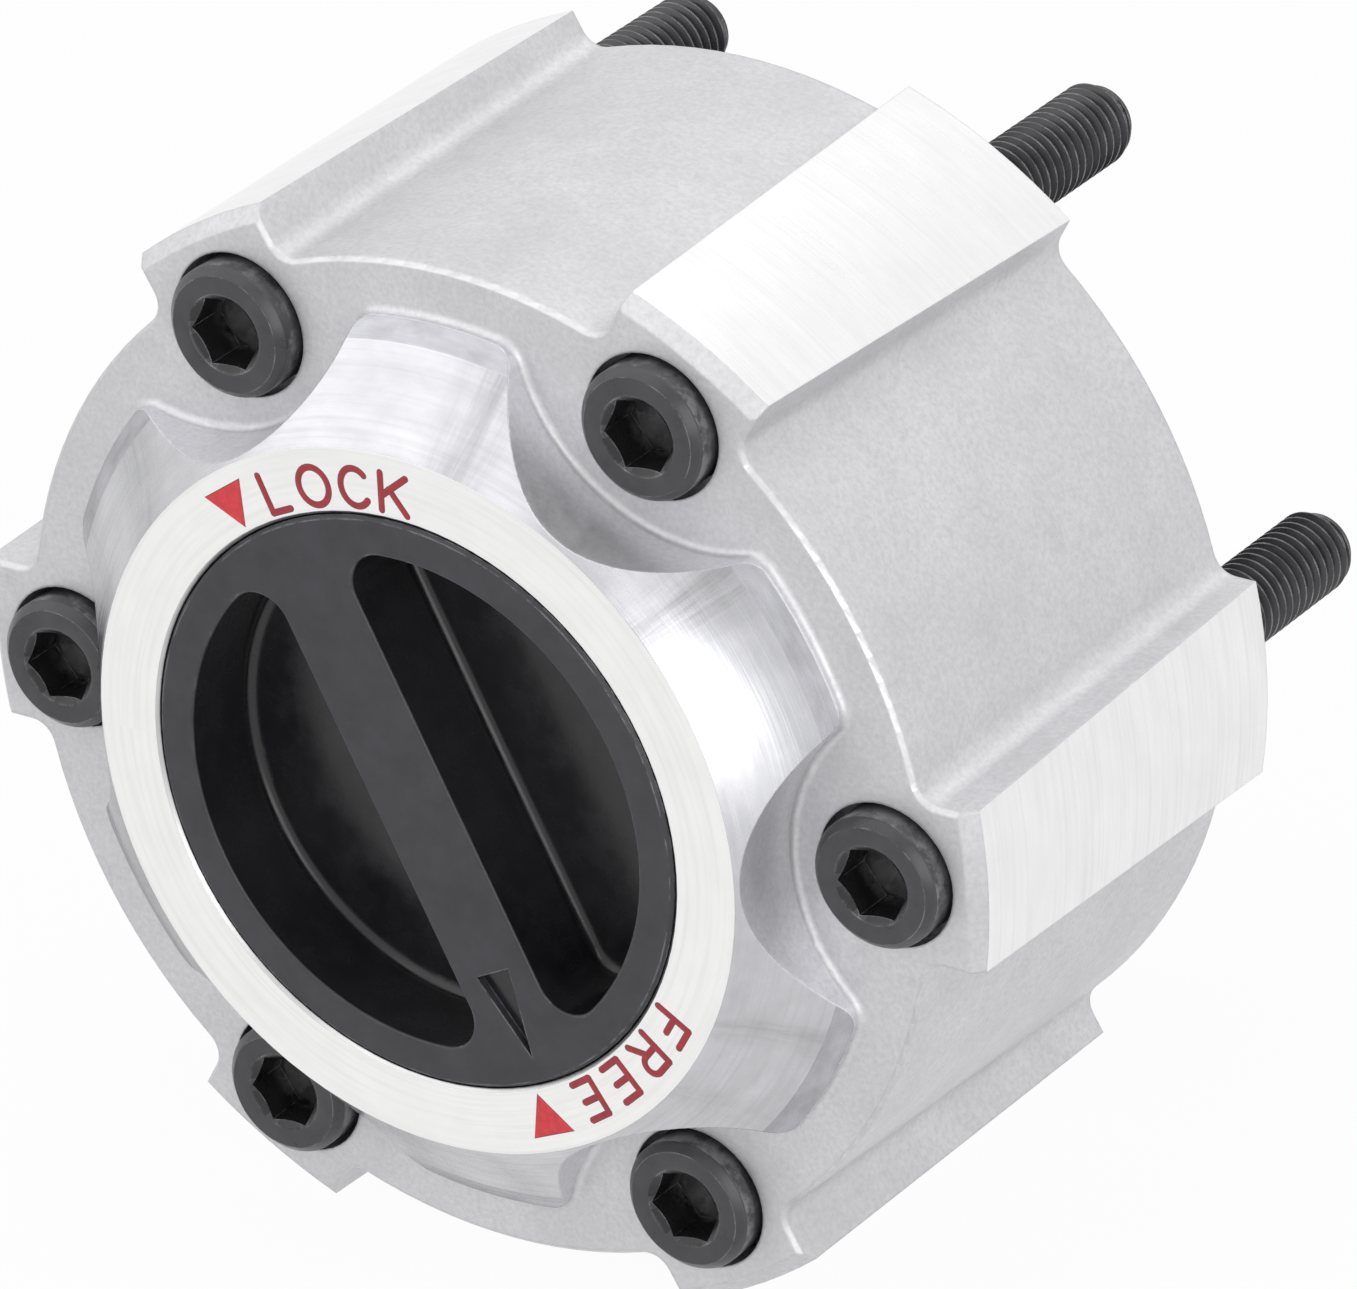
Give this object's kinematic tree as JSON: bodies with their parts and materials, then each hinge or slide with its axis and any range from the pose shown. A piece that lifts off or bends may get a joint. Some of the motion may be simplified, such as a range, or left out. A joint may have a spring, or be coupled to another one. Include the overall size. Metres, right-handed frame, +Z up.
{
  "type": "manual locking hub",
  "caption": "Round bolt-on wheel hub lock with a scalloped flared nose, socket head screws and a grip dial that turns to shift a splined clutch ring.",
  "frame": {"origin": "centre of the rear mounting face, on the hub's axis", "axes": "+Y along the hub's axis towards the wheel hub, so the dial faces -Y; +Z up and +X to the right as seen when facing the dial; one screw lies on +X"},
  "size_m": [0.136, 0.1032, 0.128],
  "materials": {
    "cast_aluminium": "cast and partly machined, satin",
    "black_dial": "satin black coat",
    "black_steel": "black oxide, lightly oiled",
    "bright_steel": "machined steel with a grease film",
    "spring_steel": "oiled spring steel",
    "bearing_steel": "ground and polished",
    "seal_rubber": "matt"
  },
  "bodies": {
    "hub_body": {"housing": "cast_aluminium", "cap_screws": "black_steel", "cam_thrust_washer": "bright_steel", "return_spring": "spring_steel", "spring_seat": "bright_steel", "bearing_outer_race": "bearing_steel", "bearing_snap_ring": "spring_steel"},
    "dial_body": {"dial": "black_dial", "dial_o_ring": "seal_rubber", "detent_ball": "bright_steel", "detent_spring": "spring_steel", "shift_cam": "bright_steel", "cam_snap_ring": "spring_steel"},
    "follower_body": {"follower": "bright_steel", "follower_pin_1": "bright_steel", "follower_pin_2": "bright_steel", "shift_spring": "spring_steel"},
    "clutch_body": {"clutch_ring": "bright_steel"},
    "gear_body": {"drive_gear": "bright_steel", "bearing_inner_race": "bearing_steel", "gear_snap_ring": "spring_steel"},
    "cage_body": {"bearing_cage": "bright_steel", "bearing_ball_01": "bearing_steel", "bearing_ball_02": "bearing_steel", "bearing_ball_03": "bearing_steel", "bearing_ball_04": "bearing_steel", "bearing_ball_05": "bearing_steel", "bearing_ball_06": "bearing_steel", "bearing_ball_07": "bearing_steel", "bearing_ball_08": "bearing_steel", "bearing_ball_09": "bearing_steel", "bearing_ball_10": "bearing_steel", "bearing_ball_11": "bearing_steel", "bearing_ball_12": "bearing_steel", "bearing_ball_13": "bearing_steel", "bearing_ball_14": "bearing_steel"}
  },
  "joints": [
    {"name": "dial_turn", "type": "hinge", "parent": "hub_body", "child": "dial_body", "pos_m": [0, 0, 0], "axis": [0, 1, 0], "range_deg": [0, 172]},
    {"name": "follower_slide", "type": "slide", "parent": "hub_body", "child": "follower_body", "axis": [0, 1, 0], "range_m": [0, 0.008]},
    {"name": "clutch_slide", "type": "slide", "parent": "hub_body", "child": "clutch_body", "axis": [0, 1, 0], "range_m": [0, 0.008], "deforming": ["return_spring"]},
    {"name": "gear_spin", "type": "hinge", "parent": "hub_body", "child": "gear_body", "pos_m": [0, 0, 0], "axis": [0, 1, 0], "continuous": true},
    {"name": "cage_spin", "type": "hinge", "parent": "hub_body", "child": "cage_body", "pos_m": [0, 0, 0], "axis": [0, 1, 0], "continuous": true}
  ],
  "couplings": [
    {"joint": "follower_slide", "follows": "dial_turn", "m_per_rad": 0.0026649},
    {"joint": "clutch_slide", "follows": "dial_turn", "m_per_rad": 0.0026649},
    {"joint": "cage_spin", "follows": "gear_spin", "ratio": 0.44}
  ]
}
